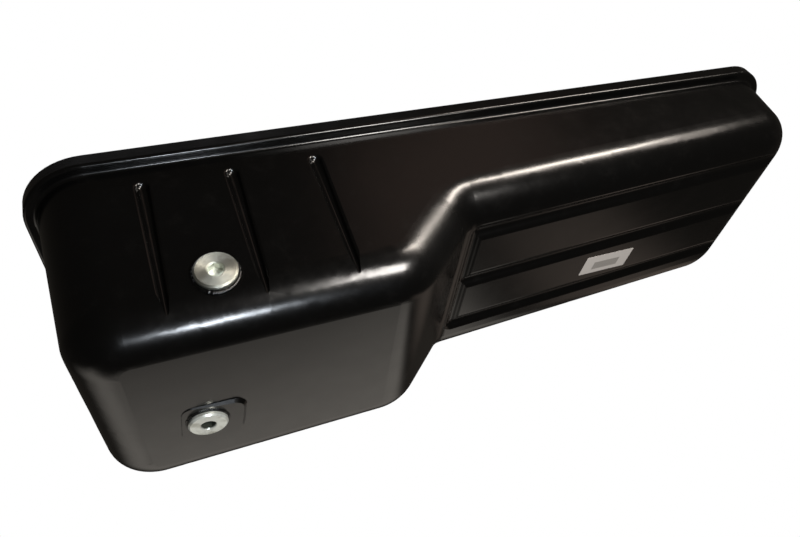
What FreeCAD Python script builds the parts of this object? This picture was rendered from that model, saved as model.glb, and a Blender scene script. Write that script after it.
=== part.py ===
import FreeCAD, Part
import math
import os

# Engine oil pan: one deep drawn sheet-steel tub with a turned-up rim, a deep sump at one end and a
# long shallow floor, two collar screw plugs with sealing rings and welded bushes, and a paper label.
# Frame: origin at the middle of the gasket face, +X towards the shallow end, +Z up towards the engine.

V = FreeCAD.Vector

# Rim and sheet
rim_length = 860.0
rim_width = 298.0
rim_overhang = 10.5
lip_height = 12.4
sheet = 2.0
rim_corner_radius = 60.5
lip_bend_radius = 3.0
neck_radius = 3.0

# Tub
end_draft = math.radians(3.6)
side_draft = math.radians(4.3)
nose_radius = 40.0
block_spare = 20.0
sump_depth = 177.0
floor_depth = 112.3
floor_slope = 0.0445
sump_length = 308.5
step_length = 71.0
step_edge_radius = 62.0
step_foot_radius = 25.0

# Grooves in the shallow floor
groove_width = 28.0
groove_depth = 5.0
groove_pitch = 77.0
groove_middle_y = -7.0
groove_shoulder_radius = 12.0
groove_start = 18.0
channel_width = 18.0
channel_depth = 3.2
channel_shoulder_radius = 7.0
channel_start = 13.0
bead_shoulder_angle = math.radians(5.0)

# Ribs in the side wall of the sump, narrower towards the bottom, where they run out
rib_first_from_end = 94.0
rib_pitch = 78.0
rib_count = 3
rib_top_z = -26.0
rib_length = 140.0
rib_width = 16.0
rib_tip_width = 10.4
rib_depth = 4.8
rib_shoulder_radius = 3.5

# Raised pad under the drain plug, tilted so that it is highest towards the step
pad_from_end = 110.0
pad_y = 22.0
pad_turn = 6.5
pad_length = 55.0
pad_width = 52.0
pad_corner_radius = 9.0
pad_low_edge = 0.6
pad_high_edge = 3.6
pad_flank = math.radians(40.0)

# Screw plugs, sealing rings and bushes
thread_diameter = 26.0
thread_clearance = 0.1
hole_clearance = 0.5
plug_collar_diameter = 36.0
plug_collar_height = 4.0
plug_collar_chamfer = 1.6
plug_shank_length = 16.0
plug_thread_chamfer = 1.5
socket_across_flats = 12.0
socket_depth = 8.0
socket_chamfer = 0.6
ring_diameter = 34.0
ring_height = 1.5
ring_bore_clearance = 0.4
bush_diameter = 36.0
bush_height = 13.0
bush_chamfer = 1.5
drain_from_end = 105.6
drain_y = 18.3
side_plug_from_end = 136.3
side_plug_rise = 45.0

# Paper label on the shallow floor
label_length = 73.0
label_width = 32.0
label_thickness = 0.3
label_corner_radius = 1.6
label_from_far_end = 233.5
label_y = 33.5
label_turn = 4.0

# Working sizes taken from the ones above
tub_length = rim_length - 2 * rim_overhang
tub_width = rim_width - 2 * rim_overhang
tub_corner_radius = rim_corner_radius - rim_overhang
deep_end_x = -tub_length / 2
far_end_x = tub_length / 2
step_edge_x = deep_end_x + sump_length
step_foot_x = step_edge_x + step_length
groove_start_x = step_foot_x + groove_start
channel_x = step_foot_x + channel_start
rib_first_x = deep_end_x + rib_first_from_end
pad_x = deep_end_x + pad_from_end
drain_x = deep_end_x + drain_from_end
side_plug_x = deep_end_x + side_plug_from_end
side_plug_z = -sump_depth + side_plug_rise
label_x = far_end_x - label_from_far_end
reach = rim_length
floor_turn = math.degrees(math.atan(floor_slope))
hole_tool_reach = 4 * sheet
pad_rise = 2 * pad_high_edge

# Slack for picking edges and faces by where they lie or point
edge_slack = 0.01
neck_slack = rim_overhang / 20
least_down_facing = 0.4


def floor_z(x, offset=0.0):
    """Height of the shallow floor at x, moved up by offset."""
    return -floor_depth + floor_slope * (x - step_foot_x) + offset


def rounded_rectangle(length, width, radius, z):
    """Closed wire of a rectangle with round corners, centred on the origin."""
    a = length / 2
    b = width / 2
    q = radius * (1 - math.sqrt(0.5))
    edges = []
    corners = [(1, 1), (-1, 1), (-1, -1), (1, -1)]
    for i, (sx, sy) in enumerate(corners):
        start = V(sx * a, sy * (b - radius), z)
        end = V(sx * (a - radius), sy * b, z)
        if sx * sy < 0:
            start, end = end, start
        middle = V(sx * (a - q), sy * (b - q), z)
        edges.append(Part.Arc(start, middle, end).toShape())
        nx, ny = corners[(i + 1) % 4]
        following = V(nx * a, ny * (b - radius), z)
        if nx * ny < 0:
            following = V(nx * (a - radius), ny * b, z)
        edges.append(Part.LineSegment(end, following).toShape())
    return Part.Wire(edges)


def arc_corner(before, corner, after, radius):
    """Tangent arc that rounds the corner between two straight runs: start, middle and end."""
    u = (before - corner).normalize()
    w = (after - corner).normalize()
    half = u.getAngle(w) / 2
    bisector = (u + w).normalize()
    centre = corner + bisector * (radius / math.sin(half))
    start = corner + u * (radius / math.tan(half))
    end = corner + w * (radius / math.tan(half))
    middle = centre - bisector * radius
    return start, middle, end


def side_profile(offset):
    """Face in the XZ plane that bounds the tub from below, moved inwards by offset."""
    step_angle = math.atan2(floor_z(step_foot_x) + sump_depth, step_foot_x - step_edge_x)
    low = -sump_depth + offset
    # the inner faces of the sheet meet at corners moved along each face's own normal
    shift = offset * math.tan(step_angle / 2)
    edge = V(step_edge_x - shift, 0, low)
    floor_angle = math.atan(floor_slope)
    lift = offset / math.cos(floor_angle)
    slant = math.tan(step_angle)
    foot_x = (floor_z(0, lift) - low + slant * edge.x) / (slant - floor_slope)
    foot = V(foot_x, 0, floor_z(foot_x, lift))
    left_low = V(-reach, 0, low)
    right_low = V(reach, 0, floor_z(reach, lift))
    right_high = V(reach, 0, reach)
    left_high = V(-reach, 0, reach)
    a1, a2, a3 = arc_corner(left_low, edge, foot, step_edge_radius - offset)
    b1, b2, b3 = arc_corner(edge, foot, right_low, step_foot_radius + offset)
    edges = [
        Part.LineSegment(left_low, a1).toShape(),
        Part.Arc(a1, a2, a3).toShape(),
        Part.LineSegment(a3, b1).toShape(),
        Part.Arc(b1, b2, b3).toShape(),
        Part.LineSegment(b3, right_low).toShape(),
        Part.LineSegment(right_low, right_high).toShape(),
        Part.LineSegment(right_high, left_high).toShape(),
        Part.LineSegment(left_high, left_low).toShape(),
    ]
    return Part.Face(Part.Wire(edges))


def drafted_block(offset, top):
    """Block with the plan of the tub and drafted walls, moved inwards by offset, up to the height top."""
    wires = []
    for z in (-sump_depth - block_spare, top):
        length = tub_length + 2 * z * math.tan(end_draft) - 2 * offset
        width = tub_width + 2 * z * math.tan(side_draft) - 2 * offset
        wires.append(rounded_rectangle(length, width, tub_corner_radius - offset, z))
    return Part.makeLoft(wires, True, True)


def nose_edges(body, top):
    """Edges between the walls and the underside, which the drawing punch rounds."""
    found = []
    for edge in body.Edges:
        faces = body.ancestorsOfType(edge, Part.Face)
        if len(faces) != 2 or edge.BoundBox.ZMin > top - sheet:
            continue
        downs = []
        for face in faces:
            u0, u1, v0, v1 = face.ParameterRange
            downs.append(abs(face.normalAt((u0 + u1) / 2, (v0 + v1) / 2).z) > least_down_facing)
        if sorted(downs) == [False, True]:
            found.append(edge)
    return found


def tub(offset, top):
    """Solid of the tub's outer form, or of its hollow when offset is the sheet."""
    prism = side_profile(offset).extrude(V(0, 2 * reach, 0))
    prism.translate(V(0, -reach, 0))
    body = drafted_block(offset, top).common(prism).Solids[0]
    edges = nose_edges(body, top)
    return body.makeFillet(nose_radius - offset, edges)


def bead_face(width, depth, shoulder, offset, whole):
    """Cross-section of a pressed-in bead, in the YZ plane with the sheet's outer face at z = 0.

    Two shoulder arcs and one valley arc follow each other tangentially. The sheet's inner face takes
    the same curve moved inwards by offset. The half section ends at the middle plane.
    """
    half = width / 2
    turn = 2 * math.atan2(depth, half)
    valley = half / math.sin(turn) - shoulder
    slip = bead_shoulder_angle
    drop = shoulder * (1 - math.cos(slip))
    inner_shoulder = shoulder - offset
    inner_valley = valley + offset
    valley_z = depth - drop - valley
    low = -width

    def on_shoulder(angle):
        return V(0, half - inner_shoulder * math.sin(angle), shoulder - drop - inner_shoulder * math.cos(angle))

    def on_valley(angle):
        return V(0, inner_valley * math.sin(angle), valley_z + inner_valley * math.cos(angle))

    start = on_shoulder(slip)
    lead = start + V(0, depth / 2 * math.cos(slip), -depth / 2 * math.sin(slip))
    edges = [
        Part.Arc(on_valley(0), on_valley(turn / 2), on_valley(turn)).toShape(),
        Part.Arc(on_valley(turn), on_shoulder((turn + slip) / 2), start).toShape(),
        Part.LineSegment(start, lead).toShape(),
        Part.LineSegment(lead, V(0, lead.y, low)).toShape(),
        Part.LineSegment(V(0, lead.y, low), V(0, 0, low)).toShape(),
    ]
    if whole:
        edges += [edge.mirror(V(0, 0, 0), V(0, 1, 0)) for edge in reversed(edges)]
    else:
        edges.append(Part.LineSegment(V(0, 0, low), on_valley(0)).toShape())
    return Part.Face(Part.Wire(Part.__sortEdges__(edges)))


def bead_tool(width, depth, shoulder, offset, length, round_far_end, far_width=None):
    """Solid that presses a straight bead along +X from the origin, with a round near end."""
    section = bead_face(width, depth, shoulder, offset, True)
    if far_width is None:
        body = section.extrude(V(length, 0, 0))
    else:
        far_section = bead_face(far_width, depth, shoulder, offset, True)
        far_section.translate(V(length, 0, 0))
        body = Part.makeLoft([section.OuterWire, far_section.OuterWire], True, True)
    near_end = bead_face(width, depth, shoulder, offset, False).revolve(V(0, 0, 0), V(0, 0, 1), 180)
    body = body.fuse(near_end)
    if round_far_end:
        far_end = near_end.copy()
        far_end.rotate(V(0, 0, 0), V(0, 0, 1), 180)
        far_end.translate(V(length, 0, 0))
        body = body.fuse(far_end)
    return body


def on_floor(shape, x, y):
    """Moves a shape from the origin onto the sloping floor at x, y."""
    shape.rotate(V(0, 0, 0), V(0, 1, 0), -floor_turn)
    shape.translate(V(x, y, floor_z(x)))
    return shape


def floor_tools(offset):
    """The three long grooves and the channel along the step's foot."""
    tools = []
    for k in (-1, 0, 1):
        groove = bead_tool(groove_width, groove_depth, groove_shoulder_radius, offset, rim_length, False)
        tools.append(on_floor(groove, groove_start_x, groove_middle_y + k * groove_pitch))
    channel = bead_tool(channel_width, channel_depth, channel_shoulder_radius, offset, 2 * groove_pitch, True)
    channel.rotate(V(0, 0, 0), V(0, 0, 1), 90)
    tools.append(on_floor(channel, channel_x, groove_middle_y - groove_pitch))
    return tools


def wall_frame(x, z):
    """Placement on the near side wall: +Z points into the pan, +X down the wall."""
    wall_y = -(tub_width / 2 + z * math.tan(side_draft))
    down = V(0, math.sin(side_draft), -math.cos(side_draft))
    inward = V(0, math.cos(side_draft), math.sin(side_draft))
    across = inward.cross(down)
    rotation = FreeCAD.Rotation(down, across, inward, "ZXY")
    return FreeCAD.Placement(V(x, wall_y, z), rotation)


def wall_tools(offset):
    """The ribs of the near side wall, open towards the sump's bottom, where they run out."""
    tools = []
    for k in range(rib_count):
        rib = bead_tool(rib_width, rib_depth, rib_shoulder_radius, offset, rib_length, False, rib_tip_width)
        rib.Placement = wall_frame(rib_first_x + k * rib_pitch, rib_top_z)
        tools.append(rib)
    return tools


def pad_frame():
    """Placement in the middle of the pad's outer face: +Z points into the pan."""
    tilt = math.atan2(pad_high_edge - pad_low_edge, pad_length)
    middle = (pad_low_edge + pad_high_edge) / 2
    turn = FreeCAD.Rotation(V(0, 0, 1), pad_turn)
    rotation = turn.multiply(FreeCAD.Rotation(V(0, 1, 0), math.degrees(tilt)))
    return FreeCAD.Placement(V(pad_x, pad_y, -sump_depth - middle), rotation)


def pad_block(offset):
    """Raised pad in the sump's bottom, or its hollow when offset is the sheet."""
    inset = offset * math.tan((math.pi / 2 - pad_flank) / 2)
    spread = pad_rise * math.tan(pad_flank)
    wires = []
    for z, grow in ((offset, 0.0), (offset + pad_rise, spread)):
        size = grow - inset
        wires.append(rounded_rectangle(pad_length + 2 * size, pad_width + 2 * size, pad_corner_radius + size, z))
    block = Part.makeLoft(wires, True, True)
    block.Placement = pad_frame()
    return block


def screw_plug():
    """Collar screw plug along +Z: its sealing face is at z = 0 and its shank reaches up from there."""
    collar = Part.makeCylinder(plug_collar_diameter / 2, plug_collar_height, V(0, 0, -plug_collar_height))
    rim = [e for e in collar.Edges if e.BoundBox.ZMax < -plug_collar_height + edge_slack]
    collar = collar.makeChamfer(plug_collar_chamfer, rim)
    shank = Part.makeCylinder(thread_diameter / 2 - thread_clearance, plug_shank_length)
    tip = [e for e in shank.Edges if e.BoundBox.ZMin > plug_shank_length - edge_slack]
    shank = shank.makeChamfer(plug_thread_chamfer, tip)
    body = collar.fuse(shank).removeSplitter()
    radius = socket_across_flats / math.sqrt(3)
    corners = []
    for k in range(7):
        angle = math.radians(60 * k)
        corners.append(V(radius * math.cos(angle), radius * math.sin(angle), -plug_collar_height))
    hexagon = Part.Face(Part.makePolygon(corners)).extrude(V(0, 0, socket_depth))
    body = body.cut(hexagon)
    wide = radius + socket_chamfer
    funnel = Part.makeCone(wide, radius - socket_chamfer, 2 * socket_chamfer, V(0, 0, -plug_collar_height))
    return body.cut(funnel).Solids[0]


def sealing_ring():
    """Flat sealing ring along +Z from z = 0 up to its height."""
    ring = Part.makeCylinder(ring_diameter / 2, ring_height)
    bore = Part.makeCylinder(thread_diameter / 2 + ring_bore_clearance, ring_height)
    return ring.cut(bore).Solids[0]


def bush():
    """Threaded bush that is welded to the sheet's inner face, from z = 0 upwards."""
    body = Part.makeCylinder(bush_diameter / 2, bush_height)
    top = [e for e in body.Edges if e.BoundBox.ZMin > bush_height - edge_slack]
    body = body.makeChamfer(bush_chamfer, top)
    return body.cut(Part.makeCylinder(thread_diameter / 2, bush_height)).Solids[0]


def plug_hole():
    """Tool for the hole through the sheet, along +Z through the origin."""
    radius = thread_diameter / 2 + hole_clearance
    return Part.makeCylinder(radius, 2 * hole_tool_reach, V(0, 0, -hole_tool_reach))


def drain_frame():
    """Placement of the drain plug's seat on the pad's outer face."""
    frame = pad_frame()
    aside = frame.Rotation.inverted().multVec(V(drain_x - pad_x, drain_y - pad_y, 0))
    aside.z = 0
    return FreeCAD.Placement(frame.multVec(aside), frame.Rotation)


def seated(shape, frame, height):
    """Copy of a shape along +Z, set at height over a seat given by its placement."""
    moved = shape.copy()
    moved.translate(V(0, 0, height))
    moved.Placement = frame.multiply(moved.Placement)
    return moved


def plug_set(prefix, frame, shell):
    """Plug, sealing ring and bush at one seat of the sheet, by node name.

    The bush's foot is coped, so that it follows the sheet where that starts to bend under it.
    """
    return {
        prefix + "_plug": seated(screw_plug(), frame, -ring_height),
        prefix + "_plug_ring": seated(sealing_ring(), frame, -ring_height),
        prefix + "_plug_bush": seated(bush(), frame, sheet).cut(shell).Solids[0],
    }


def label():
    """Paper label stuck to the underside of the shallow floor."""
    corner = V(-label_length / 2, -label_width / 2, -label_thickness)
    body = Part.makeBox(label_length, label_width, label_thickness, corner)
    upright = [e for e in body.Edges if e.BoundBox.ZLength > label_thickness / 2]
    body = body.makeFillet(label_corner_radius, upright)
    body.rotate(V(0, 0, 0), V(0, 0, 1), label_turn)
    return on_floor(body, label_x, label_y).Solids[0]


def rim_tray(offset, low, high, bend):
    """Block with the rim's outline, moved inwards by offset, and a bent lower edge."""
    wire = rounded_rectangle(rim_length - 2 * offset, rim_width - 2 * offset, rim_corner_radius - offset, low)
    block = Part.Face(wire).extrude(V(0, 0, high - low))
    edges = [e for e in block.Edges if e.BoundBox.ZMax < low + edge_slack]
    return block.makeFillet(bend, edges)


def neck_edges(body, z):
    """Edges where the tub's walls run into the rim at height z, inside the rim's outline."""
    found = []
    for edge in body.Edges:
        box = edge.BoundBox
        if abs(box.ZMin - z) > edge_slack or abs(box.ZMax - z) > edge_slack:
            continue
        middle = edge.valueAt((edge.FirstParameter + edge.LastParameter) / 2)
        inside_x = abs(middle.x) < tub_length / 2 + neck_slack
        inside_y = abs(middle.y) < tub_width / 2 + neck_slack
        if inside_x and inside_y:
            found.append(edge)
    return found


def pressed_form(offset, rim_low, bend, neck):
    """Outer form of the whole pan, or its hollow when offset is the sheet."""
    top = lip_height if offset else 0.0
    body = tub(offset, top).fuse(rim_tray(offset, rim_low, lip_height, bend))
    body = body.makeFillet(neck, neck_edges(body, rim_low))
    for tool in floor_tools(offset) + wall_tools(offset):
        body = body.cut(tool)
    return body.fuse(pad_block(offset))


def pan_shell(frames):
    """The drawn pan: rim, lip, walls, step and floors in one sheet."""
    outside = pressed_form(0.0, -sheet, lip_bend_radius, neck_radius)
    inside = pressed_form(sheet, 0.0, lip_bend_radius - sheet, neck_radius + sheet)
    shell = outside.cut(inside)
    for frame in frames:
        shell = shell.cut(seated(plug_hole(), frame, 0.0))
    return shell.Solids[0]


def side_frame():
    """Placement of the side plug's seat on the near side wall."""
    return wall_frame(side_plug_x, side_plug_z)


def main():
    """Builds every node and writes its STEP file."""
    shell = pan_shell([drain_frame(), side_frame()])
    shapes = {"pan_shell": shell}
    shapes.update(plug_set("drain", drain_frame(), shell))
    shapes.update(plug_set("side", side_frame(), shell))
    shapes["label"] = label()
    os.makedirs("parts", exist_ok=True)
    for name, shape in shapes.items():
        print(name, shape.isValid(), len(shape.Solids), round(shape.Volume, 1))
        shape.exportStep("parts/" + name + ".step")


main()
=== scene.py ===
"""Looks of a drawn steel oil pan: finishes, weld beads, label print and a plain studio."""

import logging
import math
from dataclasses import dataclass
from enum import Enum
from typing import Any, Optional

import bpy
from mathutils import Matrix, Quaternion, Vector

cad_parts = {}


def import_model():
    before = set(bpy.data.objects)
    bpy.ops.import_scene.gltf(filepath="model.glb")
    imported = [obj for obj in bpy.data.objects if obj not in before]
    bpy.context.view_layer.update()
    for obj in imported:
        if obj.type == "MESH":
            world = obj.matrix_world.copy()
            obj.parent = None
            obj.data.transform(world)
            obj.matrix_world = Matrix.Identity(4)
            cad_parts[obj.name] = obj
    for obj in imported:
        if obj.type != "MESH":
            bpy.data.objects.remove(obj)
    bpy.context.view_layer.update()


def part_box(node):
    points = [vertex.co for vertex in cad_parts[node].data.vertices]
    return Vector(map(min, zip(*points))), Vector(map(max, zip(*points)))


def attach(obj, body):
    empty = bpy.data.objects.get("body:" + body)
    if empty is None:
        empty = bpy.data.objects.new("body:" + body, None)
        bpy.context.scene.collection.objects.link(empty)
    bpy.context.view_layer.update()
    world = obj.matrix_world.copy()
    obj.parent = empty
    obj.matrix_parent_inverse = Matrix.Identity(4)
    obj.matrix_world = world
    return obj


log = logging.getLogger("oil_pan")

MM = 0.001
IMAGE_WIDTH_PX = 800
SENSOR_WIDTH_MM = 36.0


class Piece(Enum):
    """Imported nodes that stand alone."""

    SHELL = "pan_shell"
    LABEL = "label"


class Seat(Enum):
    """Where a screw plug sits, as the prefix of its nodes' names."""

    DRAIN = "drain"
    SIDE = "side"


def linear(code: str) -> tuple[float, float, float, float]:
    """Turns an sRGB hex colour into linear RGBA.

    Args:
        code: Colour such as "#1a1b1c".

    Returns:
        Red, green, blue and an alpha of 1.
    """
    values = []
    for start in (1, 3, 5):
        share = int(code[start:start + 2], 16) / 255
        values.append(share / 12.92 if share <= 0.04045 else ((share + 0.055) / 1.055) ** 2.4)
    return (values[0], values[1], values[2], 1.0)


def add_node(tree: bpy.types.NodeTree, kind: str, settings: Optional[dict[str, Any]] = None,
             **sockets: Any) -> bpy.types.Node:
    """Adds one node with its settings, and sets or links its inputs.

    Args:
        tree: Node tree of a material, a world or a geometry modifier.
        kind: Node's type name.
        settings: Properties of the node itself.
        **sockets: Input name or, as i0, i1 and so on, input number, to a value or an output socket.
            Spaces in a name are written as underscores.

    Returns:
        The new node.
    """
    node = tree.nodes.new(kind)
    for name, value in (settings or {}).items():
        setattr(node, name, value)
    for name, value in sockets.items():
        if name[0] == "i" and name[1:].isdigit():
            target = node.inputs[int(name[1:])]
        else:
            target = node.inputs[name.replace("_", " ")]
        if isinstance(value, bpy.types.NodeSocket):
            tree.links.new(value, target)
        else:
            target.default_value = value
    return node


def new_material(name: str) -> tuple[bpy.types.Material, bpy.types.NodeTree, bpy.types.Node]:
    """Makes an empty material with a Principled shader.

    Args:
        name: Name of the finish.

    Returns:
        The material, its tree and its Principled node.
    """
    material = bpy.data.materials.new(name)
    material.use_nodes = True
    tree = material.node_tree
    tree.nodes.clear()
    shader = add_node(tree, "ShaderNodeBsdfPrincipled")
    output = add_node(tree, "ShaderNodeOutputMaterial")
    tree.links.new(shader.outputs["BSDF"], output.inputs["Surface"])
    return material, tree, shader


def dress(node: str, material: bpy.types.Material) -> None:
    """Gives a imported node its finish.

    Args:
        node: Node's name.
        material: Finish for all of it.
    """
    piece = bpy.data.objects[node]
    for place in piece.material_slots:
        place.material = material
    log.info("%s: %d faces, %s", node, len(piece.data.polygons), material.name)


def middle_of(node: str) -> Vector:
    """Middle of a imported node's box."""
    low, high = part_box(node)
    return (low + high) / 2


def plain_mesh(carrier: bpy.types.Object, name: str) -> bpy.types.Object:
    """Turns an object with modifiers into a plain mesh object and removes it.

    Args:
        carrier: Object whose evaluated mesh is wanted.
        name: Name of the new object.

    Returns:
        The new object, at the origin.
    """
    graph = bpy.context.evaluated_depsgraph_get()
    mesh = bpy.data.meshes.new_from_object(carrier.evaluated_get(graph))
    mesh.name = name
    piece = bpy.data.objects.new(name, mesh)
    bpy.context.scene.collection.objects.link(piece)
    bpy.data.objects.remove(carrier)
    return piece


@dataclass(frozen=True)
class DipEnamel:
    """Gloss black dip enamel on drawn sheet steel.

    The coat is near black and lies like a thick skin, so the eye sees it by its reflections: they are sharp,
    with a faint orange peel, long soft dents left by the drawing die, and a little settled dust. Where the
    coat ran together beside the step it is duller, and the highlight is wide and weak there.

    Attributes:
        name: Material's name.
        colour: Colour of the clean coat.
        dust_colour: Colour of the dust.
        dust_mm: Width of the dust's clouds.
        dust_detail: Levels of finer clouds in the dust.
        dust_grain: Strength of each finer level.
        dust_levels: Cloud levels where dust begins and where it is thickest.
        dust_share: Share of the dust's colour where it is thickest.
        dull_levels: Cloud levels between which the gloss fades.
        roughness: Roughness of the clean coat.
        dust_roughness: Roughness under thick dust.
        peel_mm: Width of the orange peel.
        peel_depth_mm: Depth of the orange peel.
        dent_mm: Width of the die's soft dents.
        dent_depth_mm: Depth of the dents.
        relief_detail: Levels of finer relief in peel and dents.
        pool_place_mm: Middle of the duller pool at the near corner of the step.
        pool_core_mm: Radius within which the pool is dullest.
        pool_reach_mm: Radius where the pool ends.
        pool_roughness: Roughness that the pool adds.
        ior: Refractive index of the enamel.
    """

    name: str = "gloss_dip_enamel"
    colour: str = "#050505"
    dust_colour: str = "#121110"
    dust_mm: float = 26.0
    dust_detail: float = 6.0
    dust_grain: float = 0.7
    dust_levels: tuple[float, float] = (0.56, 0.82)
    dust_share: float = 0.55
    dull_levels: tuple[float, float] = (0.35, 0.8)
    roughness: float = 0.18
    dust_roughness: float = 0.24
    peel_mm: float = 2.2
    peel_depth_mm: float = 0.001
    dent_mm: float = 70.0
    dent_depth_mm: float = 0.25
    relief_detail: float = 1.0
    pool_place_mm: tuple[float, float, float] = (-76.0, -118.0, -140.0)
    pool_core_mm: float = 18.0
    pool_reach_mm: float = 54.0
    pool_roughness: float = 0.13
    ior: float = 1.52

    def material(self) -> bpy.types.Material:
        """Builds the enamel.

        Returns:
            The material.
        """
        material, tree, shader = new_material(self.name)
        place = add_node(tree, "ShaderNodeTexCoord").outputs["Object"]
        dust = add_node(tree, "ShaderNodeTexNoise", Vector=place, Scale=1 / (self.dust_mm * MM),
                        Detail=self.dust_detail, Roughness=self.dust_grain).outputs["Fac"]
        begins, thickest = self.dust_levels
        share = add_node(tree, "ShaderNodeMapRange", Value=dust, From_Min=begins, From_Max=thickest,
                         To_Min=0.0, To_Max=self.dust_share)
        colour = add_node(tree, "ShaderNodeMix", {"data_type": "RGBA"}, i0=share.outputs["Result"],
                          i6=linear(self.colour), i7=linear(self.dust_colour))
        tree.links.new(colour.outputs[2], shader.inputs["Base Color"])
        tree.links.new(self.dullness(tree, place, dust), shader.inputs["Roughness"])
        tree.links.new(self.relief(tree, place), shader.inputs["Normal"])
        shader.inputs["IOR"].default_value = self.ior
        return material

    def dullness(self, tree: bpy.types.NodeTree, place: bpy.types.NodeSocket,
                 dust: bpy.types.NodeSocket) -> bpy.types.NodeSocket:
        """Adds the coat's roughness: clean, under dust and in the pool.

        Args:
            tree: The material's node tree.
            place: Object coordinates.
            dust: Level of the dust's clouds.

        Returns:
            The roughness.
        """
        clean, dusty = self.dull_levels
        rough = add_node(tree, "ShaderNodeMapRange", Value=dust, From_Min=clean, From_Max=dusty,
                         To_Min=self.roughness, To_Max=self.dust_roughness)
        middle = tuple(MM * value for value in self.pool_place_mm)
        away = add_node(tree, "ShaderNodeVectorMath", {"operation": "DISTANCE"}, i0=place, i1=middle)
        pool = add_node(tree, "ShaderNodeMapRange", {"interpolation_type": "SMOOTHSTEP"},
                        Value=away.outputs["Value"], From_Min=self.pool_core_mm * MM,
                        From_Max=self.pool_reach_mm * MM, To_Min=self.pool_roughness, To_Max=0.0)
        return add_node(tree, "ShaderNodeMath", {"operation": "ADD"}, i0=rough.outputs["Result"],
                        i1=pool.outputs["Result"]).outputs["Value"]

    def relief(self, tree: bpy.types.NodeTree, place: bpy.types.NodeSocket) -> bpy.types.NodeSocket:
        """Adds the soft dents with the orange peel on them.

        Args:
            tree: The material's node tree.
            place: Object coordinates.

        Returns:
            The bumped normal.
        """
        peel = add_node(tree, "ShaderNodeTexNoise", Vector=place, Scale=1 / (self.peel_mm * MM),
                        Detail=self.relief_detail)
        dent = add_node(tree, "ShaderNodeTexNoise", Vector=place, Scale=1 / (self.dent_mm * MM),
                        Detail=self.relief_detail)
        deep = add_node(tree, "ShaderNodeBump", Strength=1.0, Distance=self.dent_depth_mm * MM,
                        Height=dent.outputs["Fac"])
        fine = add_node(tree, "ShaderNodeBump", Strength=1.0, Distance=self.peel_depth_mm * MM,
                        Height=peel.outputs["Fac"], Normal=deep.outputs["Normal"])
        return fine.outputs["Normal"]


@dataclass(frozen=True)
class PlateTone:
    """What sets the zinc plate of one plug apart from that of the other, with face and socket colours that
    set each plug's brightness as painted light and painted shade.

    Attributes:
        roughness: Roughness of the plate.
        ring_depth_mm: Depth of the lathe's rings.
        metallic: Share of bare metal. The rest is the film of passivate, which scatters light.
        colour: Colour of the plate: paler on the drain plug as painted light, darker on the side plug as
            painted shade.
        socket_shade_and_glow: Colour painted inside the hexagon socket: painted shade on the drain plug, a
            painted glow of light on the side plug.
    """

    roughness: float
    ring_depth_mm: float
    metallic: float
    colour: str
    socket_shade_and_glow: str


# Face colours differ by plug to set each one's brightness: the drain plug's paler face is painted light, the
# side plug's darker face is painted shade.
PLATE_TONES = {
    # Socket colours are painted light: a dark painted shade in the drain plug's socket, a pale painted glow
    # in the side plug's.
    Seat.DRAIN: PlateTone(0.28, 0.012, 0.55, "#f0f4ec", "#565b53"),
    Seat.SIDE: PlateTone(0.42, 0.05, 1.0, "#c4c6bc", "#e8ece4"),
}


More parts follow.
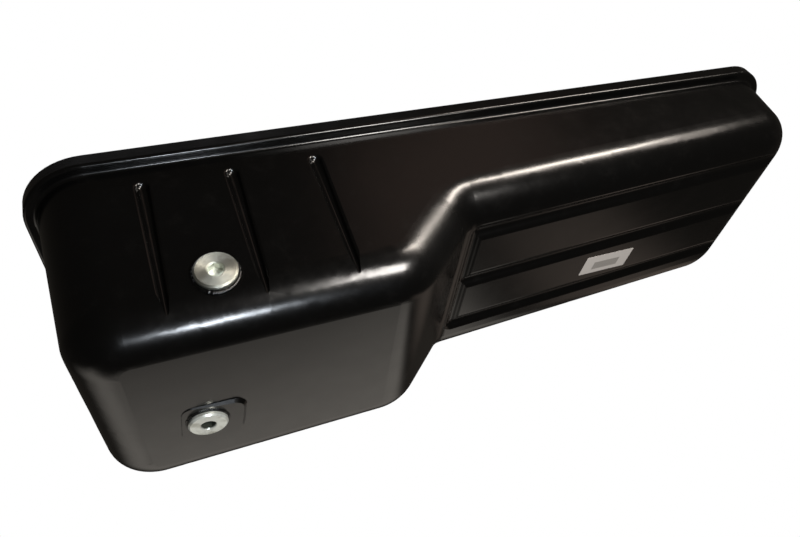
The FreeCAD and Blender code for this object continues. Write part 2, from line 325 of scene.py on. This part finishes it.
@dataclass(frozen=True)
class ZincPlate:
    """Zinc plate on a turned steel plug.

    The lathe leaves fine rings on the face, which stretch the highlight into a fan, and the plate has a pale,
    slightly yellow tone with faint cloudy stains; it is made paler on the drain plug as painted light and
    darker on the side plug as painted shade. Rings of a real feed, about 0.2 mm, are too fine to show in the
    picture, so they are drawn coarser.

    Attributes:
        name: Material's name.
        centre: Middle of the plug's seat on the sheet, in metres.
        axis: Direction of the plug's axis, into the pan.
        tone: What is this plug's own.
        stain_colour: Colour of the stains.
        stain_mm: Width of the stains.
        stain_detail: Levels of finer clouds in the stains.
        stain_levels: Noise levels where a stain begins and where it is full.
        ring_spacing_mm: Distance from ring to ring.
        painted_socket_reach_mm: Radii where the socket's painted shade and glow begin to fade and where they
            end.
        painted_socket_mouth_mm: Heights along the axis where the socket's painted shade and glow begin and
            where they are full.
    """

    name: str
    centre: tuple[float, float, float]
    axis: tuple[float, float, float]
    tone: PlateTone
    stain_colour: str = "#c2c3b8"
    stain_mm: float = 9.0
    stain_detail: float = 4.0
    stain_levels: tuple[float, float] = (0.42, 0.7)
    ring_spacing_mm: float = 0.55
    painted_socket_reach_mm: tuple[float, float] = (7.0, 7.5)
    painted_socket_mouth_mm: tuple[float, float] = (-5.3, -4.3)

    def material(self) -> bpy.types.Material:
        """Builds the plate with rings round the plug's axis.

        Returns:
            The material.
        """
        material, tree, shader = new_material(self.name)
        place = add_node(tree, "ShaderNodeTexCoord").outputs["Object"]
        turn = Vector(self.axis).to_track_quat("Z", "Y").to_euler()
        centred = add_node(tree, "ShaderNodeMapping", {"vector_type": "TEXTURE"}, Vector=place,
                           Location=self.centre, Rotation=turn).outputs["Vector"]
        flat = add_node(tree, "ShaderNodeVectorMath", {"operation": "MULTIPLY"}, i0=centred,
                        i1=(1.0, 1.0, 0.0))
        radius = add_node(tree, "ShaderNodeVectorMath", {"operation": "LENGTH"},
                          i0=flat.outputs["Vector"]).outputs["Value"]
        phase = add_node(tree, "ShaderNodeMath", {"operation": "MULTIPLY"}, i0=radius,
                         i1=2 * math.pi / (self.ring_spacing_mm * MM))
        wave = add_node(tree, "ShaderNodeMath", {"operation": "SINE"}, i0=phase.outputs["Value"])
        rings = add_node(tree, "ShaderNodeBump", Strength=1.0, Distance=self.tone.ring_depth_mm * MM,
                         Height=wave.outputs["Value"])
        stain = add_node(tree, "ShaderNodeTexNoise", Vector=place, Scale=1 / (self.stain_mm * MM),
                         Detail=self.stain_detail)
        begins, full = self.stain_levels
        share = add_node(tree, "ShaderNodeMapRange", Value=stain.outputs["Fac"], From_Min=begins,
                         From_Max=full)
        face = add_node(tree, "ShaderNodeMix", {"data_type": "RGBA"}, i0=share.outputs["Result"],
                        i6=linear(self.tone.colour), i7=linear(self.stain_colour))
        # Inside the socket the plate's colour gives way to painted shade on the drain plug and a painted glow
        # of light on the side plug.
        socket = self.painted_socket_mask(tree, centred, radius)
        colour = add_node(tree, "ShaderNodeMix", {"data_type": "RGBA"}, i0=socket,
                          i6=face.outputs[2], i7=linear(self.tone.socket_shade_and_glow))
        tree.links.new(colour.outputs[2], shader.inputs["Base Color"])
        tree.links.new(rings.outputs["Normal"], shader.inputs["Normal"])
        shader.inputs["Metallic"].default_value = self.tone.metallic
        shader.inputs["Roughness"].default_value = self.tone.roughness
        return material

    def painted_socket_mask(self, tree: bpy.types.NodeTree, centred: bpy.types.NodeSocket,
                  radius: bpy.types.NodeSocket) -> bpy.types.NodeSocket:
        """Adds a mask of the hexagon socket, where shade and light are painted.

        Args:
            tree: The material's node tree.
            centred: Place from the seat, with Z along the axis.
            radius: Distance from the axis.

        Returns:
            1 inside the socket and 0 outside.
        """
        inner, outer = (MM * value for value in self.painted_socket_reach_mm)
        mouth, inside = (MM * value for value in self.painted_socket_mouth_mm)
        along = add_node(tree, "ShaderNodeSeparateXYZ", Vector=centred)
        near = add_node(tree, "ShaderNodeMapRange", Value=radius, From_Min=inner, From_Max=outer,
                        To_Min=1.0, To_Max=0.0)
        deep = add_node(tree, "ShaderNodeMapRange", Value=along.outputs["Z"], From_Min=mouth, From_Max=inside)
        return add_node(tree, "ShaderNodeMath", {"operation": "MULTIPLY"}, i0=near.outputs["Result"],
                        i1=deep.outputs["Result"]).outputs["Value"]


@dataclass(frozen=True)
class AnnealedRing:
    """Annealed aluminium sealing ring: matt silver, slightly mottled where it was pressed.

    Attributes:
        name: Material's name.
        colour: Colour of the metal.
        metallic: Share of bare metal.
        roughness: Roughness of the metal.
        grain_mm: Width of the mottling.
        grain_detail: Levels of finer mottling.
        grain_depth_mm: Depth of the mottling.
    """

    name: str = "annealed_aluminium"
    colour: str = "#8f8f8c"
    metallic: float = 1.0
    roughness: float = 0.5
    grain_mm: float = 0.6
    grain_detail: float = 2.0
    grain_depth_mm: float = 0.008

    def material(self) -> bpy.types.Material:
        """Builds the ring's metal.

        Returns:
            The material.
        """
        material, tree, shader = new_material(self.name)
        place = add_node(tree, "ShaderNodeTexCoord").outputs["Object"]
        grain = add_node(tree, "ShaderNodeTexNoise", Vector=place, Scale=1 / (self.grain_mm * MM),
                         Detail=self.grain_detail)
        bump = add_node(tree, "ShaderNodeBump", Strength=1.0, Distance=self.grain_depth_mm * MM,
                        Height=grain.outputs["Fac"])
        tree.links.new(bump.outputs["Normal"], shader.inputs["Normal"])
        shader.inputs["Base Color"].default_value = linear(self.colour)
        shader.inputs["Metallic"].default_value = self.metallic
        shader.inputs["Roughness"].default_value = self.roughness
        return material


@dataclass(frozen=True)
class PrintedPaper:
    """Matt label paper with a grey printed field.

    The stock is off-white and a little soiled, and the print is a plain field with a row of bars in it. Paper
    fibres are too fine to show in the picture, so they are drawn coarser.

    Attributes:
        centre: Middle of the label, in metres.
        axes: The label's length, width and thickness as directions.
        name: Material's name.
        paper: Colour of the stock.
        ink: Colour of the field.
        bar_ink: Colour of the bars.
        field_mm: Length and width of the field.
        field_middle_mm: Middle of the field on the label.
        bar_pitch_mm: Distance from bar to bar.
        bar_share: Share of the pitch that a bar takes.
        fibre_mm: Length of the fibres.
        fibre_detail: Levels of finer fibres.
        fibre_depth_mm: Height of the fibres.
        fibre_strength: Strength of their relief.
        roughness: Roughness of the stock.
    """

    centre: tuple[float, float, float]
    axes: tuple[tuple[float, float, float], ...]
    name: str = "printed_label_paper"
    paper: str = "#cac3bc"
    ink: str = "#a09a94"
    bar_ink: str = "#908a82"
    field_mm: tuple[float, float] = (40.0, 13.2)
    field_middle_mm: tuple[float, float] = (0.0, 2.7)
    bar_pitch_mm: float = 3.6
    bar_share: float = 0.4
    fibre_mm: float = 0.9
    fibre_detail: float = 3.0
    fibre_depth_mm: float = 0.02
    fibre_strength: float = 0.4
    roughness: float = 0.75

    def material(self) -> bpy.types.Material:
        """Builds the paper with its print.

        Returns:
            The material.
        """
        material, tree, shader = new_material(self.name)
        place = add_node(tree, "ShaderNodeTexCoord").outputs["Object"]
        turn = Matrix(self.axes).transposed().to_euler()
        local = add_node(tree, "ShaderNodeMapping", {"vector_type": "TEXTURE"}, Vector=place,
                         Location=self.centre, Rotation=turn)
        parts = add_node(tree, "ShaderNodeSeparateXYZ", Vector=local.outputs["Vector"])
        half_pitch = self.bar_pitch_mm * MM / 2
        phase = add_node(tree, "ShaderNodeMath", {"operation": "PINGPONG"}, i0=parts.outputs["X"],
                         i1=half_pitch)
        bars = add_node(tree, "ShaderNodeMath", {"operation": "LESS_THAN"}, i0=phase.outputs["Value"],
                        i1=half_pitch * self.bar_share)
        printed = add_node(tree, "ShaderNodeMix", {"data_type": "RGBA"}, i0=bars.outputs["Value"],
                           i6=linear(self.ink), i7=linear(self.bar_ink))
        colour = add_node(tree, "ShaderNodeMix", {"data_type": "RGBA"}, i0=self.in_field(tree, parts),
                          i6=linear(self.paper), i7=printed.outputs[2])
        fibre = add_node(tree, "ShaderNodeTexNoise", Vector=place, Scale=1 / (self.fibre_mm * MM),
                         Detail=self.fibre_detail)
        bump = add_node(tree, "ShaderNodeBump", Strength=self.fibre_strength,
                        Distance=self.fibre_depth_mm * MM, Height=fibre.outputs["Fac"])
        tree.links.new(colour.outputs[2], shader.inputs["Base Color"])
        tree.links.new(bump.outputs["Normal"], shader.inputs["Normal"])
        shader.inputs["Roughness"].default_value = self.roughness
        return material

    def in_field(self, tree: bpy.types.NodeTree, parts: bpy.types.Node) -> bpy.types.NodeSocket:
        """Adds a mask of the printed field.

        Args:
            tree: The material's node tree.
            parts: Node that gives the place along the label's length and width.

        Returns:
            1 on the field and 0 beside it.
        """
        masks = []
        for axis in (0, 1):
            off = add_node(tree, "ShaderNodeMath", {"operation": "SUBTRACT"}, i0=parts.outputs[axis],
                           i1=self.field_middle_mm[axis] * MM)
            away = add_node(tree, "ShaderNodeMath", {"operation": "ABSOLUTE"}, i0=off.outputs["Value"])
            within = add_node(tree, "ShaderNodeMath", {"operation": "LESS_THAN"}, i0=away.outputs["Value"],
                              i1=self.field_mm[axis] / 2 * MM)
            masks.append(within.outputs["Value"])
        return add_node(tree, "ShaderNodeMath", {"operation": "MULTIPLY"}, i0=masks[0],
                        i1=masks[1]).outputs["Value"]


@dataclass(frozen=True)
class DrawnShell:
    """The pan's drawn sheet, and the ways in which its two plug seats face.

    Attributes:
        side_draft_deg: Lean of the side wall.
        pad_turn_deg: Turn of the drain pad about the vertical.
        pad_length_mm: Length of the drain pad.
        pad_tilt_mm: How much further one end of the pad stands out than the other.
    """

    side_draft_deg: float = 4.3
    pad_turn_deg: float = 6.5
    pad_length_mm: float = 55.0
    pad_tilt_mm: float = 3.0

    def build(self, enamel: bpy.types.Material) -> None:
        """Dresses the shell in its enamel."""
        dress(Piece.SHELL.value, enamel)

    def seat_axis(self, seat: Seat) -> Vector:
        """Works out which way a plug goes into the pan.

        Args:
            seat: Which plug's seat it is.

        Returns:
            Direction of the plug's axis, into the pan.
        """
        if seat is Seat.SIDE:
            lean = Matrix.Rotation(math.radians(self.side_draft_deg), 3, "X")
            return lean @ Vector((0.0, 1.0, 0.0))
        turn = Matrix.Rotation(math.radians(self.pad_turn_deg), 3, "Z")
        tilt = Matrix.Rotation(math.atan2(self.pad_tilt_mm, self.pad_length_mm), 3, "Y")
        return turn @ tilt @ Vector((0.0, 0.0, 1.0))


@dataclass
class WeldBead:
    """Fillet weld round a bush's foot: a ring of small overlapping scallops.

    Attributes:
        name: Piece's name.
        centre: Middle of the ring on the sheet's inner face.
        axis: Direction from the sheet into the pan.
        radius_mm: Radius of the bush.
        leg_mm: Width of the fillet.
        ripple_pitch_mm: Distance from one scallop to the next.
        unevenness: How far a scallop's size strays, as a share of it.
        seed: Seed of the scallops' sizes.
        ring_corners: Corners of the ring's path.
        scallop_levels: Subdivisions of a scallop.
    """

    name: str
    centre: Vector
    axis: Vector
    radius_mm: float = 18.0
    leg_mm: float = 3.2
    ripple_pitch_mm: float = 1.9
    unevenness: float = 0.08
    seed: int = 4
    ring_corners: int = 96
    scallop_levels: int = 2

    def tree(self, material: bpy.types.Material) -> bpy.types.GeometryNodeTree:
        """Builds the node tree of the bead about the origin.

        Args:
            material: Finish of the bead.

        Returns:
            The tree, with named inputs for its sizes.
        """
        tree = bpy.data.node_groups.new(self.name + "_tree", "GeometryNodeTree")
        tree.interface.new_socket("Geometry", in_out="OUTPUT", socket_type="NodeSocketGeometry")
        for size in ("Radius", "Leg", "Pitch"):
            tree.interface.new_socket(size, in_out="INPUT", socket_type="NodeSocketFloat")
        sizes = add_node(tree, "NodeGroupInput")
        ring = add_node(tree, "GeometryNodeCurvePrimitiveCircle", Resolution=self.ring_corners,
                        Radius=sizes.outputs["Radius"])
        spaced = add_node(tree, "GeometryNodeResampleCurve", {"mode": "LENGTH"},
                          Curve=ring.outputs["Curve"], Length=sizes.outputs["Pitch"])
        points = add_node(tree, "GeometryNodeCurveToPoints", {"mode": "EVALUATED"},
                          Curve=spaced.outputs["Curve"])
        scallop = add_node(tree, "GeometryNodeMeshIcoSphere", Radius=1.0, Subdivisions=self.scallop_levels)
        uneven = add_node(tree, "FunctionNodeRandomValue", {"data_type": "FLOAT"}, i2=1 - self.unevenness,
                          i3=1 + self.unevenness, Seed=self.seed)
        leg = add_node(tree, "ShaderNodeMath", {"operation": "MULTIPLY"}, i0=sizes.outputs["Leg"],
                       i1=uneven.outputs[1])
        scale = add_node(tree, "ShaderNodeCombineXYZ", X=leg.outputs["Value"], Y=leg.outputs["Value"],
                         Z=leg.outputs["Value"])
        placed = add_node(tree, "GeometryNodeInstanceOnPoints", Points=points.outputs["Points"],
                          Instance=scallop.outputs["Mesh"], Rotation=points.outputs["Rotation"],
                          Scale=scale.outputs["Vector"])
        real = add_node(tree, "GeometryNodeRealizeInstances", Geometry=placed.outputs["Instances"])
        smooth = add_node(tree, "GeometryNodeSetShadeSmooth", Geometry=real.outputs["Geometry"])
        dressed = add_node(tree, "GeometryNodeSetMaterial", Geometry=smooth.outputs["Geometry"],
                           Material=material)
        add_node(tree, "NodeGroupOutput", Geometry=dressed.outputs["Geometry"])
        return tree

    def build(self, material: bpy.types.Material) -> bpy.types.Object:
        """Makes the bead a plain mesh at the bush's foot.

        Args:
            material: Finish of the bead.

        Returns:
            The bead's object.
        """
        tree = self.tree(material)
        seed_mesh = bpy.data.meshes.new(self.name + "_seed")
        carrier = bpy.data.objects.new(self.name + "_carrier", seed_mesh)
        bpy.context.scene.collection.objects.link(carrier)
        modifier = carrier.modifiers.new("bead", "NODES")
        modifier.node_group = tree
        values = {"Radius": self.radius_mm * MM, "Leg": self.leg_mm * MM, "Pitch": self.ripple_pitch_mm * MM}
        for item in tree.interface.items_tree:
            if item.in_out == "INPUT":
                modifier[item.identifier] = values[item.name]
        piece = plain_mesh(carrier, self.name)
        turn = self.axis.to_track_quat("Z", "Y").to_matrix().to_4x4()
        piece.data.transform(Matrix.Translation(self.centre) @ turn)
        log.info("%s: %d faces", self.name, len(piece.data.polygons))
        return piece


@dataclass
class PlugSet:
    """Screw plug, sealing ring, welded bush and weld bead at one seat.

    Attributes:
        seat: Which seat it is.
        axis: Direction of the plug's axis, into the pan.
        sheet_mm: Thickness of the pan's sheet.
        ring_mm: Thickness of the sealing ring.
    """

    seat: Seat
    axis: Vector
    sheet_mm: float = 2.0
    ring_mm: float = 1.5

    def name(self, piece: str) -> str:
        """Node's name of one piece of the set."""
        return f"{self.seat.value}_plug{piece}"

    def seat_centre(self) -> Vector:
        """Middle of the plug's seat on the sheet's outer face."""
        ring = middle_of(self.name("_ring"))
        return ring + self.axis * (self.ring_mm * MM / 2)

    def build(self, ring_metal: bpy.types.Material, enamel: bpy.types.Material) -> None:
        """Dresses the set and lays the weld bead.

        Args:
            ring_metal: Finish of the sealing ring.
            enamel: Finish of bush and bead, which are dipped with the pan.
        """
        centre = self.seat_centre()
        plate = ZincPlate(f"{self.seat.value}_zinc_plate", tuple(centre), tuple(self.axis),
                          PLATE_TONES[self.seat])
        dress(self.name(""), plate.material())
        dress(self.name("_ring"), ring_metal)
        dress(self.name("_bush"), enamel)
        foot = centre + self.axis * (self.sheet_mm * MM)
        bead = WeldBead(self.name("_weld"), foot, self.axis).build(enamel)
        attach(bead, "root")


@dataclass
class PaperLabel:
    """Printed paper label under the shallow floor.

    Attributes:
        floor_slope: Rise of the shallow floor per length.
        turn_deg: How far the label was stuck on askew.
    """

    floor_slope: float = 0.0445
    turn_deg: float = 4.0

    def build(self) -> None:
        """Dresses the label with its print."""
        tilt = Matrix.Rotation(-math.atan(self.floor_slope), 3, "Y")
        turned = tilt @ Matrix.Rotation(math.radians(self.turn_deg), 3, "Z")
        axes = tuple(tuple(axis) for axis in turned.col)
        paper = PrintedPaper(tuple(middle_of(Piece.LABEL.value)), axes)
        dress(Piece.LABEL.value, paper.material())


@dataclass(frozen=True)
class Lamp:
    """One soft area lamp.

    Attributes:
        name: Lamp's name.
        place: Where it hangs, in metres.
        target: Point that it faces.
        size: Length and width in metres.
        power: Watts.
        colour: sRGB hex colour.
    """

    name: str
    place: tuple[float, float, float]
    target: tuple[float, float, float]
    size: tuple[float, float]
    power: float
    colour: str = "#ffffff"

    def build(self) -> None:
        """Hangs the lamp, which the camera doesn't see."""
        data = bpy.data.lights.new(self.name, "AREA")
        data.shape = "RECTANGLE"
        data.size, data.size_y = self.size
        data.energy = self.power
        data.color = linear(self.colour)[:3]
        lamp = bpy.data.objects.new(self.name, data)
        bpy.context.scene.collection.objects.link(lamp)
        place = Vector(self.place)
        lamp.location = place
        lamp.rotation_mode = "QUATERNION"
        lamp.rotation_quaternion = (Vector(self.target) - place).to_track_quat("-Z", "Y")
        lamp.visible_camera = False
        log.info("lamp %s: %g W", self.name, self.power)


@dataclass(frozen=True)
class LightPatch:
    """Soft-edged patch of light in the surroundings, which gloss mirrors and the camera doesn't see.

    Bearings are in degrees from +Y towards +X, and heights are those of a unit heading. Each edge is given by
    where the patch ends and where it has its full strength.

    Attributes:
        name: What it stands for.
        strength: Radiance where it is full.
        colour: sRGB hex colour.
        low_bearing: Edge at the lower bearing.
        high_bearing: Edge at the higher bearing.
        top: Upper edge.
        foot: Lower edge.
    """

    name: str
    strength: float
    colour: str
    low_bearing: tuple[float, float]
    high_bearing: tuple[float, float]
    top: tuple[float, float]
    foot: tuple[float, float]

    def shader(self, tree: bpy.types.NodeTree, bearing: bpy.types.NodeSocket,
               height: bpy.types.NodeSocket) -> bpy.types.NodeSocket:
        """Adds the patch to a world's tree.

        Args:
            tree: The world's node tree.
            bearing: Bearing of the heading in radians.
            height: Height of the unit heading.

        Returns:
            The patch as a shader.
        """
        edges = [
            (bearing, *map(math.radians, self.low_bearing)),
            (bearing, *map(math.radians, self.high_bearing)),
            (height, *self.top),
            (height, *self.foot),
        ]
        light: Any = self.strength
        for value, ends_at, full_at in edges:
            share = add_node(tree, "ShaderNodeMapRange", {"interpolation_type": "SMOOTHSTEP"}, Value=value,
                             From_Min=ends_at, From_Max=full_at)
            light = add_node(tree, "ShaderNodeMath", {"operation": "MULTIPLY"}, i0=share.outputs["Result"],
                             i1=light).outputs["Value"]
        patch = add_node(tree, "ShaderNodeBackground", Color=linear(self.colour), Strength=light)
        log.info("light patch %s: %g", self.name, self.strength)
        return patch.outputs["Background"]


@dataclass
class Studio:
    """Plain pale floor, soft lamps, white background, dim room and the camera.

    The camera looks up at the hanging pan, so the floor lies well below it.

    Attributes:
        floor_height: Height of the floor in metres.
        floor_reach: Reach of the floor to every side, in metres.
        floor_corners: Corners of the round floor's outline.
        floor_colour: Colour of the floor as the camera sees it.
        floor_lift: Share of the floor's colour that it shows unlit.
        dim_floor_colour: Colour of the floor as it lights the pan.
        camera_place: Camera's position in metres.
        camera_aim: Point in the pan that it faces.
        camera_roll_deg: Turn of the picture, clockwise about the line of sight.
        focal_px: Focal length in pixels of the photograph's width.
        room_strength: Even light of the dim room.
        room_colour: Colour of the dim room.
    """

    floor_height: float = -1.3
    floor_reach: float = 30.0
    floor_corners: int = 96
    floor_colour: str = "#e4e2de"
    floor_lift: float = 0.56
    dim_floor_colour: str = "#343230"
    camera_place: tuple[float, float, float] = (-0.3098, -0.5374, -0.4821)
    camera_aim: tuple[float, float, float] = (-0.0833, 0.0, -0.0691)
    camera_roll_deg: float = 26.09
    focal_px: float = 644.7
    room_strength: float = 0.03
    room_colour: str = "#fff2e0"

    def floor_paint(self) -> bpy.types.Material:
        """Mixes the floor's paint: pale for the camera, and clear where the gloss mirrors the room.

        Returns:
            The material.
        """
        material = bpy.data.materials.new("matt_floor_paint")
        material.use_nodes = True
        tree = material.node_tree
        tree.nodes.clear()
        rays = add_node(tree, "ShaderNodeLightPath")
        pale = add_node(tree, "ShaderNodeBsdfDiffuse", Color=linear(self.floor_colour))
        lift = add_node(tree, "ShaderNodeEmission", Color=linear(self.floor_colour), Strength=self.floor_lift)
        seen = add_node(tree, "ShaderNodeAddShader", i0=pale.outputs["BSDF"], i1=lift.outputs["Emission"])
        dim = add_node(tree, "ShaderNodeBsdfDiffuse", Color=linear(self.dim_floor_colour))
        clear = add_node(tree, "ShaderNodeBsdfTransparent")
        unseen = add_node(tree, "ShaderNodeMixShader", i0=rays.outputs["Is Glossy Ray"],
                          i1=dim.outputs["BSDF"], i2=clear.outputs["BSDF"])
        shown = add_node(tree, "ShaderNodeMixShader", i0=rays.outputs["Is Camera Ray"],
                         i1=unseen.outputs["Shader"], i2=seen.outputs["Shader"])
        add_node(tree, "ShaderNodeOutputMaterial", Surface=shown.outputs["Shader"])
        return material

    def floor(self) -> None:
        """Lays the round floor."""
        mesh = bpy.data.meshes.new("studio_floor")
        corners = []
        for number in range(self.floor_corners):
            turn = 2 * math.pi * number / self.floor_corners
            corners.append((self.floor_reach * math.cos(turn), self.floor_reach * math.sin(turn),
                            self.floor_height))
        mesh.from_pydata(corners, [], [tuple(range(self.floor_corners))])
        mesh.materials.append(self.floor_paint())
        floor = bpy.data.objects.new("studio_floor", mesh)
        bpy.context.scene.collection.objects.link(floor)

    def surroundings(self) -> None:
        """White for the camera, while gloss mirrors a dim room with pale patches."""
        world = bpy.data.worlds.new("studio")
        bpy.context.scene.world = world
        world.use_nodes = True
        tree = world.node_tree
        tree.nodes.clear()
        rays = add_node(tree, "ShaderNodeLightPath")
        heading = add_node(tree, "ShaderNodeTexCoord").outputs["Generated"]
        parts = add_node(tree, "ShaderNodeSeparateXYZ", Vector=heading)
        bearing = add_node(tree, "ShaderNodeMath", {"operation": "ARCTAN2"}, i0=parts.outputs["X"],
                           i1=parts.outputs["Y"]).outputs["Value"]
        room = add_node(tree, "ShaderNodeBackground", Color=linear(self.room_colour),
                        Strength=self.room_strength).outputs["Background"]
        for patch in (
            LightPatch("backdrop", 0.82, "#fff7ec", low_bearing=(-62, -45), high_bearing=(32.5, 27),
                       top=(0.1, -0.45), foot=(-0.68, -0.44)),
            LightPatch("curtain", 0.25, "#ffe8d7", low_bearing=(33, 39), high_bearing=(48.5, 44),
                       top=(0.3, -0.2), foot=(-0.68, -0.5)),
            LightPatch("ceiling", 1.0, "#f4f6ff", low_bearing=(-181, -180), high_bearing=(181, 180),
                       top=(1.2, 1.1), foot=(0.8, 0.95)),
            LightPatch("warm_glow", 0.3, "#ffd7c4", low_bearing=(135, 145), high_bearing=(165, 157),
                       top=(0.67, 0.6), foot=(0.2, 0.45)),
        ):
            light = patch.shader(tree, bearing, parts.outputs["Z"])
            room = add_node(tree, "ShaderNodeAddShader", i0=room, i1=light).outputs["Shader"]
        white = add_node(tree, "ShaderNodeBackground", Color=linear("#ffffff"), Strength=1.0)
        shown = add_node(tree, "ShaderNodeMixShader", i0=rays.outputs["Is Camera Ray"], i1=room,
                         i2=white.outputs["Background"])
        add_node(tree, "ShaderNodeOutputWorld", Surface=shown.outputs["Shader"])

    def lamps(self) -> None:
        """Hangs the lamps: four in front for the photograph's highlights, two for the top and the back."""
        for lamp in (
            Lamp("low_strip", place=(-0.24, -0.545, -1.157), target=(-0.285, -0.114, -0.168),
                 size=(0.18, 0.12), power=5.2, colour="#eef6ff"),
            Lamp("front_strip", place=(0.19, -0.81, -0.66), target=(-0.13, -0.12, -0.16),
                 size=(0.30, 0.26), power=8.2, colour="#fffaf4"),
            Lamp("side_strip", place=(0.57, -0.88, -0.03), target=(0.07, -0.13, -0.08),
                 size=(0.46, 0.09), power=4.9, colour="#fff4e8"),
            Lamp("side_wash", place=(0.68, -0.86, -0.08), target=(0.1, -0.13, -0.08),
                 size=(0.56, 0.2), power=1.6, colour="#fff4e8"),
            Lamp("top_soft", place=(0.0, -0.1, 1.7), target=(0.0, 0.0, 0.0), size=(1.3, 0.7), power=22.0),
            Lamp("back_soft", place=(0.9, 2.0, 2.6), target=(0.0, 0.0, -0.1), size=(1.2, 0.8), power=30.0),
        ):
            lamp.build()

    def camera(self) -> None:
        """Sets the camera at the photograph's viewing angle."""
        data = bpy.data.cameras.new("camera")
        data.sensor_width = SENSOR_WIDTH_MM
        data.lens = self.focal_px / IMAGE_WIDTH_PX * SENSOR_WIDTH_MM
        camera = bpy.data.objects.new("camera", data)
        bpy.context.scene.collection.objects.link(camera)
        place = Vector(self.camera_place)
        facing = (Vector(self.camera_aim) - place).to_track_quat("-Z", "Y")
        roll = Quaternion((0.0, 0.0, 1.0), -math.radians(self.camera_roll_deg))
        camera.location = place
        camera.rotation_mode = "QUATERNION"
        camera.rotation_quaternion = facing @ roll
        bpy.context.scene.camera = camera

    def build(self) -> None:
        """Sets up floor, surroundings, lamps and camera."""
        self.floor()
        self.surroundings()
        self.lamps()
        self.camera()
        bpy.context.scene.view_settings.view_transform = "Standard"


def main() -> None:
    """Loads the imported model, dresses every piece and sets the studio up."""
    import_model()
    enamel = DipEnamel().material()
    ring_metal = AnnealedRing().material()
    shell = DrawnShell()
    shell.build(enamel)
    for seat in Seat:
        PlugSet(seat, shell.seat_axis(seat)).build(ring_metal, enamel)
    PaperLabel().build()
    Studio().build()


if __name__ == "__main__":
    logging.basicConfig(level=logging.INFO, format="%(message)s")
    main()
